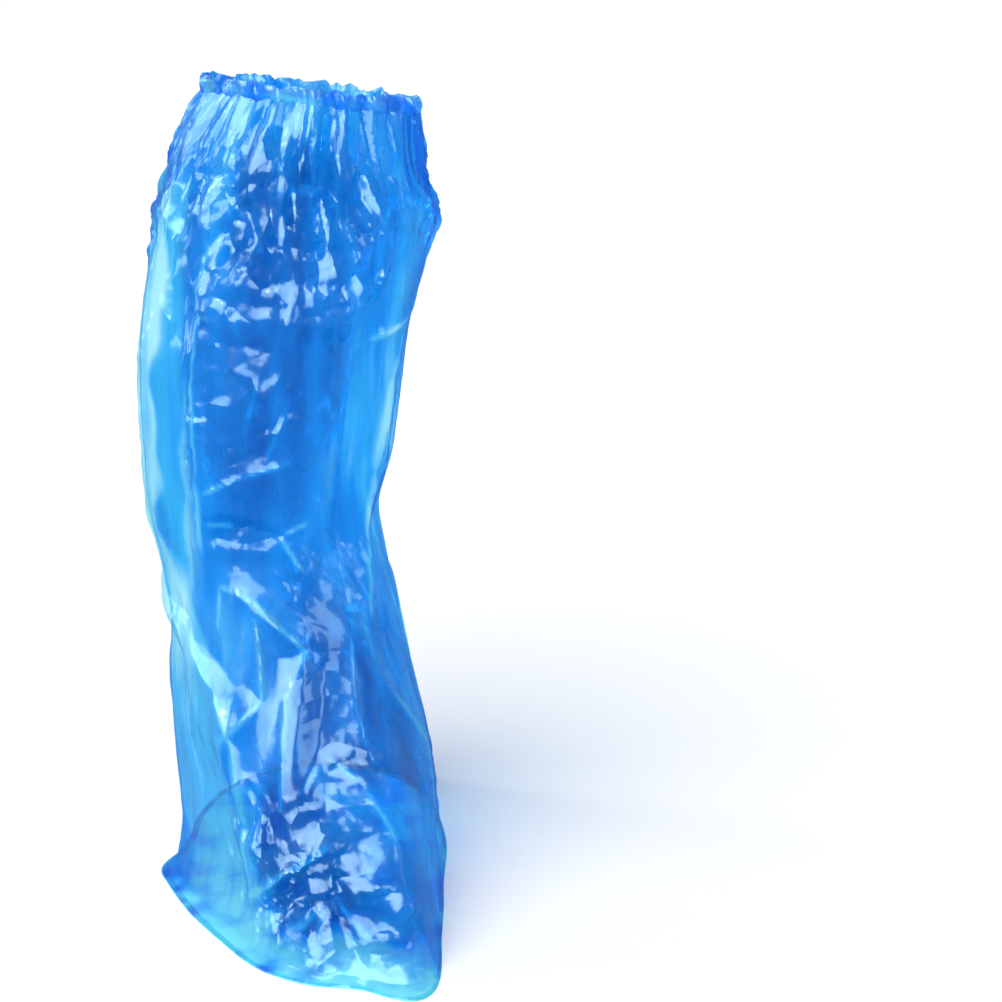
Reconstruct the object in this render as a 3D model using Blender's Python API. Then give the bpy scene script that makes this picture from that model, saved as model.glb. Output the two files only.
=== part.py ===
"""Knee-high shoe cover of thin blown film, in the shape that it has when worn.

The frame is +Z up with the toe towards -Y, in metres.  The origin is the middle
of the gathered cuff, where a calf holds the cover up, and the ground lies
COVER_HEIGHT below it.  Three pieces make the cover: the film bag of leg and
foot, the gathered hem round its mouth and the flat weld flange round its sole.
"""
import bpy
import numpy as np

# Overall sizes of the worn cover
COVER_HEIGHT = 0.465
CUFF_WIDTH = 0.120
CUFF_DEPTH = 0.116
SHAFT_WIDTH = 0.160
SHAFT_DEPTH = 0.180
SOLE_WIDTH = 0.153
SOLE_LENGTH = 0.290

# Film and hem
FILM_WALL = 0.0012
SOLE_RIM = 0.004
HEM_HEIGHT = 0.0085
HEM_THICKNESS = 0.0045
CLEARANCE = 0.0003

# Gathers, ruffles and folds: how far each stands out from the smooth film
GATHER_COUNT = 18
GATHER_RISE = 0.0026
GATHER_SHIFT = 3.2
RUFFLE_RISE = 0.0012
FOLD_RISE = 0.0060
FOLD_SPREAD = 0.020
CUFF_SIDE_TILT = 0.007
CUFF_FRONT_TILT = 0.012

# Weld flange on the ground
FLANGE_WIDTH = 0.025
FLANGE_THICKNESS = 0.0012

# Shares of the bag's height: where the gathers have run out, where the cuff's
# tilt has died away, and the plain bands kept free of folds above and below
GATHER_FOOT = 0.70
TILT_FOOT = 0.72
PLAIN_TOP = 0.10
PLAIN_BOTTOM = 0.05

# Mesh density: four columns to each gather
COLUMNS = 4 * GATHER_COUNT
LEVELS = 33
ROW_CROWDING = 1.25

# Each row is one level section of the bag, from the mouth down to the ground.
# height: share of the bag's height.  left, right: shares of the local width.
# front, back: shares of the local depth.  cuff, sole: how much of the local
# width and depth comes from the cuff's and the sole's sizes; the rest is shaft.
SECTIONS = np.array(
    [
        (1.00, 0.520, 0.486, 0.500, 0.500, 1.0, 0.00),
        (0.95, 0.546, 0.436, 0.460, 0.460, 0.5, 0.00),
        (0.90, 0.539, 0.400, 0.417, 0.433, 0.0, 0.00),
        (0.86, 0.572, 0.424, 0.450, 0.478, 0.0, 0.00),
        (0.80, 0.604, 0.394, 0.478, 0.511, 0.0, 0.00),
        (0.72, 0.643, 0.334, 0.494, 0.533, 0.0, 0.00),
        (0.62, 0.658, 0.294, 0.489, 0.539, 0.0, 0.00),
        (0.54, 0.652, 0.262, 0.472, 0.533, 0.0, 0.00),
        (0.46, 0.640, 0.208, 0.468, 0.522, 0.0, 0.00),
        (0.40, 0.604, 0.232, 0.492, 0.500, 0.0, 0.05),
        (0.33, 0.572, 0.276, 0.540, 0.470, 0.0, 0.12),
        (0.25, 0.578, 0.328, 0.587, 0.425, 0.0, 0.30),
        (0.17, 0.578, 0.392, 0.598, 0.382, 0.0, 0.60),
        (0.09, 0.562, 0.434, 0.629, 0.358, 0.0, 0.85),
        (0.00, 0.542, 0.456, 0.655, 0.345, 0.0, 1.00),
    ],
    dtype=[(name, float) for name in ("height", "left", "right", "front", "back", "cuff", "sole")],
)

# The sole's outline seen from above: reach from its middle in each direction,
# as a share of half its width and length.  Angle 0 is the right side, 90 the heel.
SOLE_OUTLINE = np.array(
    [
        (15, 1.01),
        (45, 1.07),
        (75, 1.01),
        (105, 1.01),
        (135, 1.07),
        (160, 1.03),
        (180, 0.99),
        (200, 0.82),
        (225, 0.71),
        (250, 0.80),
        (270, 0.90),
        (292, 1.04),
        (312, 1.30),
        (330, 1.12),
        (350, 1.00),
    ],
    dtype=[("angle", float), ("reach", float)],
)

# The flange's width in each direction, as a share of FLANGE_WIDTH.
FLANGE_OUTLINE = np.array(
    [
        (20, 0.18),
        (90, 0.26),
        (150, 0.22),
        (172, 0.24),
        (180, 0.62),
        (187, 0.62),
        (205, 0.78),
        (228, 1.00),
        (252, 0.86),
        (275, 0.70),
        (292, 0.66),
        (308, 0.92),
        (322, 0.40),
        (345, 0.14),
    ],
    dtype=[("angle", float), ("width", float)],
)

# The film's folds: each is a soft ridge along a straight line on the film, or a
# valley where its rise is negative.  The line's ends are directions in degrees and
# shares of the bag's height.  spread: share of FOLD_SPREAD.  rise: share of FOLD_RISE.
FOLDS = np.array(
    [
        # long folds down the left side and along the shin's left edge
        (206, 0.84, 207, 0.48, 1.0, 0.8),
        (227, 0.84, 229, 0.42, 1.0, -0.8),
        (239, 0.80, 244, 0.46, 0.8, 0.4),
        # long folds down the right side
        (332, 0.72, 326, 0.38, 1.1, 1.0),
        (312, 0.76, 312, 0.46, 1.0, -0.8),
        (314, 0.73, 344, 0.75, 0.7, 0.5),
        # dent and lower edge of the crumpled upper front
        (245, 0.88, 256, 0.84, 1.6, -0.7),
        (232, 0.80, 252, 0.77, 0.8, 0.5),
        (252, 0.77, 295, 0.76, 0.8, 0.5),
        # cross creases over the shin
        (244, 0.54, 283, 0.59, 0.8, 0.4),
        (245, 0.50, 281, 0.49, 0.7, -0.5),
        (281, 0.49, 292, 0.44, 0.7, 0.5),
        # tent over the ankle: a peak with four edges
        (257, 0.42, 245, 0.36, 0.8, 0.8),
        (257, 0.42, 286, 0.35, 0.8, 1.0),
        (266, 0.40, 262, 0.29, 0.7, 0.5),
        (262, 0.29, 232, 0.22, 0.7, 0.5),
        (286, 0.35, 268, 0.17, 0.9, 1.0),
        (296, 0.34, 290, 0.20, 1.4, -0.9),
        # diagonal fold from the left edge down to the toe, and the hollow beside it
        (198, 0.37, 236, 0.29, 0.9, 1.0),
        (236, 0.29, 243, 0.08, 0.9, 0.9),
        (197, 0.30, 222, 0.10, 1.1, -0.7),
        # flat panel on the right of the foot
        (309, 0.36, 307, 0.22, 0.9, 0.8),
        (345, 0.32, 350, 0.14, 1.3, 0.5),
        (326, 0.27, 348, 0.18, 0.7, 0.5),
        # instep and toe: a cross crease and a fan
        (278, 0.20, 308, 0.15, 0.8, 0.5),
        (286, 0.14, 242, 0.06, 0.8, 0.7),
        (270, 0.11, 260, 0.03, 0.8, -0.6),
        (276, 0.10, 272, 0.03, 0.7, 0.5),
        (286, 0.10, 287, 0.03, 0.7, -0.5),
        (296, 0.11, 303, 0.03, 0.8, 0.6),
        # calf and heel at the back
        (62, 0.82, 72, 0.36, 1.2, 0.8),
        (92, 0.78, 96, 0.40, 1.1, -0.7),
        (128, 0.80, 120, 0.34, 1.2, 0.8),
        (158, 0.74, 166, 0.38, 1.1, -0.7),
        (30, 0.76, 22, 0.40, 1.1, -0.6),
        (20, 0.34, 70, 0.24, 1.0, 0.7),
        (150, 0.30, 95, 0.20, 1.0, 0.7),
        (60, 0.16, 110, 0.12, 1.0, -0.6),
        (172, 0.26, 150, 0.08, 1.0, 0.6),
    ],
    dtype=[
        (name, float)
        for name in ("from_angle", "from_height", "to_angle", "to_height", "spread", "rise")
    ],
)

# The hem's cross-section, bottom inside first and then round: spread to the
# outside as a share of HEM_THICKNESS, and rise as a share of HEM_HEIGHT.
HEM_PROFILE = (
    (-0.30, 0.00),
    (-0.50, 0.45),
    (-0.25, 1.00),
    (0.25, 1.00),
    (0.50, 0.60),
    (0.30, 0.00),
)


def curve_through(knots, values, at):
    """Smooth curve through the knots: cubic pieces with the mean slope at each knot."""
    order = np.argsort(knots)
    x = np.asarray(knots, float)[order]
    y = np.asarray(values, float)[order]
    slopes = np.gradient(y, x)
    at = np.clip(at, x[0], x[-1])
    left = np.clip(np.searchsorted(x, at) - 1, 0, len(x) - 2)
    span = x[left + 1] - x[left]
    t = (at - x[left]) / span
    start = (1 + 2 * t) * (1 - t) ** 2 * y[left] + t * (1 - t) ** 2 * span * slopes[left]
    end = t**2 * (3 - 2 * t) * y[left + 1] - t**2 * (1 - t) * span * slopes[left + 1]
    return start + end


def curve_round(angles, values, at):
    """The same smooth curve, closed over a full turn of 360 degrees."""
    knots = np.concatenate([angles - 360, angles, angles + 360])
    return curve_through(knots, np.tile(values, 3), np.mod(at, 360))


def fade(value, start, end):
    """0 at start and before, 1 at end and beyond, with a smooth change between."""
    t = np.clip((value - start) / (end - start), 0, 1)
    return t * t * (3 - 2 * t)


def section_reaches(height):
    """Reach in metres to the left, right, front and back at a height share."""
    names = SECTIONS.dtype.names
    column = {name: curve_through(SECTIONS["height"], SECTIONS[name], height) for name in names}
    shaft = 1 - column["cuff"] - column["sole"]
    width = column["cuff"] * CUFF_WIDTH + shaft * SHAFT_WIDTH + column["sole"] * SOLE_WIDTH
    depth = column["cuff"] * CUFF_DEPTH + shaft * SHAFT_DEPTH + column["sole"] * SOLE_LENGTH
    return (
        column["left"] * width,
        column["right"] * width,
        column["front"] * depth,
        column["back"] * depth,
        np.clip(column["sole"], 0, 1),
    )


def column_turns():
    """Where each mesh column stands round the leg, as shares of a full turn."""
    return np.arange(COLUMNS) / COLUMNS


def direction(turn, height):
    """Direction in degrees at a share of a full turn, uneven near the cuff as hand-fed gathers are."""
    shift = np.sin(6 * np.pi * turn) + 0.6 * np.sin(14 * np.pi * turn + 1)
    return 360 * turn + GATHER_SHIFT * shift * fade(height, 0.4, 0.9)


def gather_wave(turn):
    """Triangle wave round the leg: one crest and one trough to each gather, deeper and shallower by turns."""
    wave = 1 - 4 * np.abs(np.mod(turn * GATHER_COUNT, 1) - 0.5)
    return wave * (1 + 0.35 * np.sin(10 * np.pi * turn + 2))


def fold_rise(angle, height):
    """The highest ridge and the deepest valley at each place.

    Each fold is a bump (1 - (d / spread)^2)^2 of the distance d to its line on the film.
    """
    girth = np.pi * (SHAFT_WIDTH + SHAFT_DEPTH) / 2
    ridge = np.zeros(angle.shape)
    valley = np.zeros(angle.shape)
    for fold in FOLDS:
        middle = (fold["from_angle"] + fold["to_angle"]) / 2
        near = (np.mod(angle - middle + 180, 360) - 180) / 360 * girth
        start = np.array([(fold["from_angle"] - middle) / 360 * girth, fold["from_height"] * COVER_HEIGHT])
        line = np.array([(fold["to_angle"] - middle) / 360 * girth, fold["to_height"] * COVER_HEIGHT]) - start
        offset = np.stack([near, height * COVER_HEIGHT], -1) - start
        along = np.clip(offset @ line / (line @ line), 0, 1)
        distance = np.linalg.norm(offset - along[..., None] * line, axis=-1)
        bump = np.clip(1 - (distance / (FOLD_SPREAD * fold["spread"])) ** 2, 0, None) ** 2
        ridge = np.maximum(ridge, FOLD_RISE * fold["rise"] * bump)
        valley = np.minimum(valley, FOLD_RISE * fold["rise"] * bump)
    return (ridge + valley) * fade(height, 0, PLAIN_BOTTOM) * fade(1 - height, 0, PLAIN_TOP)


def film_points(turn, height):
    """Outer film surface: an oval round each section's middle, turning into the sole's outline below.

    Folds and gathers push it straight out or in.
    """
    height = np.broadcast_to(height, turn.shape)
    angle = direction(turn, height)
    left, right, front, back, sole = section_reaches(height)
    sole_reach = curve_round(SOLE_OUTLINE["angle"], SOLE_OUTLINE["reach"], angle)
    reach = 1 + sole * (sole_reach - 1)
    across = np.cos(np.radians(angle))
    along = np.sin(np.radians(angle))
    out = GATHER_RISE * gather_wave(turn) * fade(height, GATHER_FOOT, 1) + fold_rise(angle, height)
    x = (right - left) / 2 + (right + left) / 2 * reach * across + out * across
    y = (back - front) / 2 + (back + front) / 2 * reach * along + out * along
    tilt = -CUFF_SIDE_TILT * across - CUFF_FRONT_TILT * along
    low = SOLE_RIM - COVER_HEIGHT
    z = low + height * (-HEM_HEIGHT / 2 - low) + tilt * fade(height, TILT_FOOT, 1)
    return np.stack([x, y, z], -1)


def ground_ring(turn):
    """The bag's lowest outline, straight under its bottom section."""
    ring = film_points(turn, 0.0)
    ring[:, 2] = -COVER_HEIGHT
    return ring


def outward(points):
    """Unit normals of a closed ring grid whose rows run down and columns run round."""
    round_step = np.roll(points, -1, 1) - np.roll(points, 1, 1)
    down_step = np.gradient(points, axis=0)
    normals = np.cross(down_step, round_step)
    return normals / np.linalg.norm(normals, axis=-1, keepdims=True)


def ring_faces(rows, first=0, inward=False, closed=False):
    """Quads between neighbouring rows of a ring grid.

    They face out, or in if inward is set, and closed joins the last row to the first.
    """
    count = rows if closed else rows - 1
    row, column = np.meshgrid(np.arange(count), np.arange(COLUMNS), indexing="ij")
    below = (row + 1) % rows * COLUMNS
    above = row * COLUMNS
    beside = (column + 1) % COLUMNS
    corners = [above + column, below + column, below + beside, above + beside]
    quads = np.stack(corners, -1).reshape(-1, 4) + first
    return quads[:, ::-1] if inward else quads


def fan_faces(first, middle, downward=False):
    """Triangles from one ring of points to its middle point, facing up unless downward is set."""
    column = np.arange(COLUMNS)
    beside = (column + 1) % COLUMNS
    fan = np.stack([first + column, first + beside, np.full(COLUMNS, middle)], -1)
    return fan[:, ::-1] if downward else fan


def film_bag():
    """Two skins FILM_WALL apart, joined round the open mouth and closed by a flat sole."""
    turn = column_turns()
    height = np.linspace(1, 0, LEVELS) ** ROW_CROWDING
    ground = ground_ring(turn)
    outer = np.concatenate([film_points(*np.meshgrid(turn, height)), [ground]])
    rows = LEVELS + 1
    inner = (outer - FILM_WALL * outward(outer))[:-1]
    inner[0, :, 2] = outer[0, :, 2]
    inner[-1, :, 2] = outer[-2, :, 2]
    floor = inner[-1].copy()
    floor[:, 2] = -COVER_HEIGHT + FILM_WALL
    inner = np.concatenate([inner, [floor]])
    middle = ground.mean(0)
    above = middle + (0, 0, FILM_WALL)
    verts = np.concatenate([outer.reshape(-1, 3), inner.reshape(-1, 3), [middle, above]])
    last = (rows - 1) * COLUMNS
    skin = rows * COLUMNS
    column = np.arange(COLUMNS)
    beside = (column + 1) % COLUMNS
    lip = np.stack([column, beside, skin + beside, skin + column], -1)
    faces = [
        *ring_faces(rows),
        *ring_faces(rows, skin, inward=True),
        *lip,
        *fan_faces(last, 2 * skin, downward=True),
        *fan_faces(skin + last, 2 * skin + 1),
    ]
    return verts, faces


def gathered_hem():
    """A soft ring on the bag's mouth: an oval tube with a flat underside, ruffled with the gathers."""
    turn = column_turns()
    angle = direction(turn, 1.0)
    mouth = film_points(turn, 1.0)
    wave = gather_wave(turn)
    out = np.stack([np.cos(np.radians(angle)), np.sin(np.radians(angle)), np.zeros(COLUMNS)], -1)
    rows = []
    for share, rise in HEM_PROFILE:
        spread = HEM_THICKNESS * share - FILM_WALL / 2
        lift = CLEARANCE + (HEM_HEIGHT + RUFFLE_RISE * wave) * rise
        ring = mouth + out * spread
        ring[:, 2] = mouth[:, 2] + lift
        rows.append(ring)
    return np.concatenate(rows), list(ring_faces(len(rows), closed=True))


def weld_flange():
    """Two films welded flat on the ground round the sole, with a pointed ear on the left."""
    turn = column_turns()
    ground = ground_ring(turn)
    out = outward(np.stack([film_points(turn, 0.0), ground]))[0]
    inner = ground + CLEARANCE * out
    away = ground - ground.mean(0)
    away = away / np.linalg.norm(away, axis=-1, keepdims=True)
    width = FLANGE_WIDTH * curve_round(FLANGE_OUTLINE["angle"], FLANGE_OUTLINE["width"], direction(turn, 0.0))
    outer = inner + away * width[:, None]
    up = np.array([0, 0, FLANGE_THICKNESS])
    verts = np.concatenate([inner, inner + up, outer + up, outer])
    return verts, list(ring_faces(4, closed=True))


def film_material(name, colour, roughness):
    """Plain glossy film colour."""
    material = bpy.data.materials.new(name)
    material.use_nodes = True
    shader = material.node_tree.nodes["Principled BSDF"]
    shader.inputs["Base Color"].default_value = (*colour, 1)
    shader.inputs["Roughness"].default_value = roughness
    shader.inputs["Metallic"].default_value = 0.0
    material.diffuse_color = (*colour, 1)
    return material


def add_piece(name, shape, material):
    """One mesh object, shaded smooth except at sharp edges."""
    verts, faces = shape
    mesh = bpy.data.meshes.new(name)
    mesh.from_pydata(verts.tolist(), [], [face.tolist() for face in faces])
    mesh.shade_smooth()
    mesh.set_sharp_from_angle(angle=np.radians(50))
    mesh.materials.append(material)
    piece = bpy.data.objects.new(name, mesh)
    bpy.context.collection.objects.link(piece)


def main():
    for old in list(bpy.data.objects):
        bpy.data.objects.remove(old)
    add_piece("film_bag", film_bag(), film_material("blue_film", (0.02, 0.30, 0.95), 0.20))
    add_piece("gathered_hem", gathered_hem(), film_material("gathered_film", (0.02, 0.26, 0.90), 0.28))
    add_piece("weld_flange", weld_flange(), film_material("welded_film", (0.02, 0.24, 0.80), 0.25))


main()
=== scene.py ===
"""Knee-high shoe cover of thin blue film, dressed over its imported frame.

The film is worked out on fine grids from the same level sections as the solids,
then given folds, pleats below the gathered cuff, buckles and crumpled facets.
The frame is +Z up with the toe towards -Y, in metres, with the origin in the
middle of the cuff.
"""

import bpy
import numpy as np
from bpy.props import FloatProperty, FloatVectorProperty, IntProperty, PointerProperty
from bpy.types import Operator, Panel, PropertyGroup
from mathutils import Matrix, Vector


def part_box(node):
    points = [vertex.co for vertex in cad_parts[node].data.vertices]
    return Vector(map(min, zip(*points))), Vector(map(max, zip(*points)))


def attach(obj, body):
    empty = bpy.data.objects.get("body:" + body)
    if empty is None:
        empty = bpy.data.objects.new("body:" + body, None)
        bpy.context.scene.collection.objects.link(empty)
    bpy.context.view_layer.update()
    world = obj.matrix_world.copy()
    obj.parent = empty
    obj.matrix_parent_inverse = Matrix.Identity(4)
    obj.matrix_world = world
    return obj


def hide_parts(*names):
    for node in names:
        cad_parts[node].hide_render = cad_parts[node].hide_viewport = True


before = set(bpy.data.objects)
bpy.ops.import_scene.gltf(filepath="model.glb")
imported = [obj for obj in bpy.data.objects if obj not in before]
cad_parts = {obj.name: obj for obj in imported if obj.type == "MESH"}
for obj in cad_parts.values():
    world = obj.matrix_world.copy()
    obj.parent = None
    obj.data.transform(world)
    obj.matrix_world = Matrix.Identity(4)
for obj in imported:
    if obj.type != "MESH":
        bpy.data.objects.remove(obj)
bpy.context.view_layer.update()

bl_info = {
    "name": "Film Shoe Cover",
    "version": (1, 0, 0),
    "blender": (4, 5, 0),
    "location": "3D View > Sidebar > Shoe Cover",
    "description": "Makes the film, cuff, weld and sole of a knee-high shoe cover, and its studio",
    "category": "Object",
}

# The frame's own places, in metres
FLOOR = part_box("film_bag")[0].z
COVER_HEIGHT = -FLOOR

# Driving sizes of the worn cover, as in the solids
CUFF_WIDTH = 0.120
CUFF_DEPTH = 0.116
SHAFT_WIDTH = 0.160
SHAFT_DEPTH = 0.180
SOLE_WIDTH = 0.153
SOLE_LENGTH = 0.290
SOLE_RIM = 0.004
HEM_HEIGHT = 0.0085
HEM_THICKNESS = 0.0045
CUFF_SIDE_TILT = 0.007
CUFF_FRONT_TILT = 0.012
FLANGE_WIDTH = 0.025
GATHER_COUNT = 18
GATHER_SHIFT = 3.2
GATHER_FOOT = 0.70
TILT_FOOT = 0.72
GIRTH = np.pi * (SHAFT_WIDTH + SHAFT_DEPTH) / 2

# The upright crumples fan out from one direction in front: turns per metre down at the
# sides of the fan, and the turn of its middle
FAN = 0.7
FAN_MIDDLE = 0.68
# How much the film's own pattern is shortened, so that its cells stand upright
PATTERN_SQUEEZE = 0.4
# The pleats' pattern starts this far above the mouth, in metres, so that it runs on over
# the hem
PATTERN_ABOVE = 0.1
# Rows of heights that are drawn for the facets before they repeat
FACET_ROWS = 128
# Edges of the film's mesh that bend by more degrees than this show as sharp creases
CREASE_ANGLE = 28
# Heights above the floor of the sole film, of the film over the fin and of the weld
SOLE_LIFT = 0.0003
FIN_LIFT = 0.0006
WELD_LIFT = 0.0001


def table(columns, *rows):
    """Rows of numbers whose columns have names."""
    return np.array(list(rows), dtype=[(name, float) for name in columns.split()])


# Level sections of the bag.  height: share of the bag's height.  left, right: shares
# of the local width.  front, back: shares of the local depth.  cuff, sole: how much
# of the local width and depth comes from the cuff and the sole; the rest is shaft.
SECTIONS = table(
    "height left right front back cuff sole",
    (1.00, 0.520, 0.486, 0.500, 0.500, 1.0, 0),
    (0.95, 0.546, 0.436, 0.460, 0.460, 0.5, 0),
    (0.90, 0.539, 0.400, 0.417, 0.433, 0, 0),
    (0.86, 0.572, 0.424, 0.450, 0.478, 0, 0),
    (0.80, 0.604, 0.394, 0.478, 0.511, 0, 0),
    (0.72, 0.643, 0.334, 0.494, 0.533, 0, 0),
    (0.62, 0.658, 0.294, 0.489, 0.539, 0, 0),
    (0.54, 0.652, 0.262, 0.472, 0.533, 0, 0),
    (0.46, 0.640, 0.208, 0.468, 0.522, 0, 0),
    (0.40, 0.604, 0.232, 0.492, 0.500, 0.0, 0.05),
    (0.33, 0.572, 0.276, 0.540, 0.470, 0.0, 0.12),
    (0.25, 0.578, 0.328, 0.587, 0.425, 0.0, 0.30),
    (0.17, 0.578, 0.392, 0.598, 0.382, 0.0, 0.60),
    (0.09, 0.562, 0.434, 0.629, 0.358, 0.0, 0.85),
    (0.00, 0.542, 0.456, 0.655, 0.345, 0.0, 1),
)

# The sole's outline from above: reach in each direction as a share of half its width
# and length.  Angle 0 is the right side, 90 the heel, 270 the toe.
SOLE_OUTLINE = table(
    "angle reach",
    (15, 1.01),
    (45, 1.07),
    (75, 1.01),
    (105, 1.01),
    (135, 1.07),
    (160, 1.03),
    (180, 0.99),
    (200, 0.82),
    (225, 0.71),
    (250, 0.80),
    (270, 0.90),
    (292, 1.04),
    (312, 1.30),
    (330, 1.12),
    (350, 1.00),
)

# The fin's width in each direction, as a share of FLANGE_WIDTH
FLANGE_OUTLINE = table(
    "angle width",
    (20, 0.18),
    (90, 0.26),
    (150, 0.22),
    (172, 0.24),
    (180, 0.62),
    (187, 0.62),
    (205, 0.78),
    (228, 1.00),
    (252, 0.86),
    (275, 0.70),
    (292, 0.66),
    (308, 0.92),
    (322, 0.40),
    (345, 0.14),
)

# Folds along straight lines on the film.  Ends: direction in degrees and share of the
# height.  spread, rise: half width and height in millimetres, a valley where rise is
# negative.  crisp: 0 for a soft swell, 1 for a sharp crease.
FOLDS = table(
    "from_angle from_height to_angle to_height spread rise crisp",
    # long folds down the left side and the left edge of the front panel
    (206, 0.84, 207, 0.48, 20, 4.8, 0),
    (227, 0.84, 229, 0.42, 20, -4.8, 0),
    (239, 0.80, 244, 0.46, 16, 2.4, 0.2),
    # long folds down the right side
    (332, 0.72, 326, 0.38, 22, 6.0, 0.1),
    (312, 0.76, 312, 0.46, 20, -4.8, 0),
    (314, 0.73, 344, 0.75, 14, 3.0, 0.6),
    # dent and lower edge of the crumpled upper front
    (245, 0.88, 256, 0.84, 32, -4.2, 0),
    (232, 0.80, 250, 0.775, 18, 6.4, 0.3),
    (250, 0.775, 296, 0.765, 18, 7.6, 0.3),
    (242, 0.81, 256, 0.795, 18, 5.4, 0),
    (256, 0.795, 292, 0.79, 18, 5.6, 0),
    (258, 0.82, 290, 0.815, 18, 3.0, 0),
    # cross creases over the front panel
    (244, 0.54, 283, 0.59, 16, 2.4, 0.4),
    (245, 0.50, 281, 0.49, 14, -3.0, 0.4),
    (281, 0.49, 292, 0.44, 14, 3.0, 0.4),
    # tent above the foot: a peak with four edges
    (257, 0.42, 245, 0.36, 16, 4.8, 0.6),
    (257, 0.42, 286, 0.35, 16, 6.0, 0.6),
    (266, 0.40, 262, 0.29, 14, 3.0, 0.6),
    (262, 0.29, 232, 0.22, 14, 3.0, 0.6),
    (286, 0.35, 268, 0.17, 18, 6.0, 0.5),
    (294, 0.34, 288, 0.20, 26, -1.6, 0),
    # diagonal fold from the left edge down to the toe, and the hollow beside it
    (198, 0.37, 236, 0.29, 18, 6.0, 0.5),
    (236, 0.29, 243, 0.08, 18, 5.4, 0.5),
    (197, 0.30, 222, 0.10, 22, -4.2, 0),
    # flat panel on the right of the foot
    (311, 0.36, 309, 0.22, 16, 1.6, 0.2),
    (345, 0.32, 350, 0.14, 26, 3.0, 0),
    (326, 0.27, 348, 0.18, 14, 3.0, 0.5),
    # instep and toe: a cross crease and a fan
    (278, 0.20, 308, 0.15, 16, 3.0, 0.4),
    (286, 0.14, 242, 0.06, 16, 4.2, 0.5),
    (270, 0.11, 260, 0.03, 16, -3.6, 0.4),
    (276, 0.10, 272, 0.03, 14, 3.0, 0.5),
    (286, 0.10, 287, 0.03, 14, -3.0, 0.5),
    (296, 0.11, 303, 0.03, 16, 3.6, 0.5),
    # back of the shaft and heel
    (62, 0.82, 72, 0.36, 24, 4.8, 0.1),
    (92, 0.78, 96, 0.40, 22, -4.2, 0),
    (128, 0.80, 120, 0.34, 24, 4.8, 0.1),
    (158, 0.74, 166, 0.38, 22, -4.2, 0),
    (30, 0.76, 22, 0.40, 22, -3.6, 0),
    (20, 0.34, 70, 0.24, 20, 4.2, 0.4),
    (150, 0.30, 95, 0.20, 20, 4.2, 0.4),
    (60, 0.16, 110, 0.12, 20, -3.6, 0.2),
    (172, 0.26, 150, 0.08, 20, 3.6, 0.3),
)

# Thin creases that lie on the folds, in the same columns
CREASES = table(
    "from_angle from_height to_angle to_height spread rise crisp",
    (211, 0.90, 204, 0.83, 8, 1.2, 0.8),
    (204, 0.83, 207, 0.61, 8, 1.4, 0.7),
    (207, 0.61, 198, 0.36, 8, 1.2, 0.7),
    (226, 0.80, 229, 0.37, 7, -1.0, 0.8),
    (235, 0.83, 241, 0.56, 7, 1.3, 0.9),
    (241, 0.56, 244, 0.46, 7, 1.1, 0.9),
    (344, 0.76, 330, 0.67, 8, 1.2, 0.8),
    (330, 0.67, 324, 0.55, 8, 1.4, 0.8),
    (324, 0.55, 329, 0.45, 7, 1.2, 0.8),
    (329, 0.45, 324, 0.36, 7, 1.2, 0.8),
    (313, 0.75, 310, 0.57, 7, -1.2, 0.8),
    (310, 0.57, 314, 0.47, 7, -1.2, 0.8),
    (314, 0.73, 344, 0.74, 6, 1.3, 1),
    (240, 0.87, 252, 0.80, 8, -1.0, 0.6),
    (257, 0.42, 250, 0.42, 5, 1.0, 1),
    (250, 0.42, 245, 0.37, 5, 1.1, 1),
    (257, 0.42, 266, 0.41, 5, 1.1, 1),
    (266, 0.41, 286, 0.35, 5, 1.3, 1),
    (265, 0.39, 262, 0.29, 6, 1.1, 1),
    (262, 0.29, 232, 0.22, 6, 1.3, 1),
    (286, 0.35, 274, 0.30, 6, 1.0, 1),
    (274, 0.30, 270, 0.23, 6, 1.3, 1),
    (270, 0.23, 266, 0.17, 6, 1.2, 1),
    (198, 0.37, 220, 0.34, 7, 1.2, 1),
    (220, 0.34, 236, 0.29, 7, 1.3, 1),
    (236, 0.29, 244, 0.23, 7, 1.3, 1),
    (244, 0.23, 243, 0.14, 7, 1.3, 1),
    (243, 0.14, 241, 0.06, 7, 1.2, 1),
    (197, 0.29, 220, 0.24, 8, 1.0, 0.8),
    (220, 0.24, 226, 0.15, 8, 1.1, 0.8),
    (226, 0.15, 226, 0.07, 8, 0.9, 0.8),
    (309, 0.35, 305, 0.29, 7, 1.2, 1),
    (305, 0.29, 307, 0.23, 7, 1.0, 1),
    (9, 0.34, 10, 0.25, 8, 1.2, 0.8),
    (10, 0.25, -4, 0.17, 8, 1.0, 0.8),
    (328, 0.27, 348, 0.18, 7, 1.3, 1),
    (275, 0.19, 290, 0.23, 7, 1.0, 0.9),
    (290, 0.23, 302, 0.20, 7, 1.1, 0.9),
    (302, 0.20, 310, 0.13, 7, 1.0, 0.9),
    (286, 0.14, 267, 0.11, 6, 1.2, 1),
    (267, 0.11, 240, 0.05, 6, 1.3, 1),
    (284, 0.08, 257, 0.01, 7, 1.1, 1),
    (284, 0.08, 272, 0.01, 7, 1.2, 1),
    (284, 0.08, 286, 0.01, 7, -1.1, 1),
    (284, 0.08, 306, 0.01, 7, 1.2, 1),
    (244, 0.54, 261, 0.57, 6, 1.1, 1),
    (261, 0.57, 283, 0.59, 6, 1.1, 1),
    (245, 0.50, 262, 0.50, 6, 1.2, 1),
    (262, 0.50, 281, 0.49, 6, -1.0, 1),
    (281, 0.49, 295, 0.50, 6, 1.1, 1),
    (281, 0.49, 292, 0.44, 6, 1.2, 1),
    (268, 0.71, 262, 0.61, 5, 0.8, 1),
    (281, 0.66, 271, 0.58, 5, 0.8, 1),
)

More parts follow.
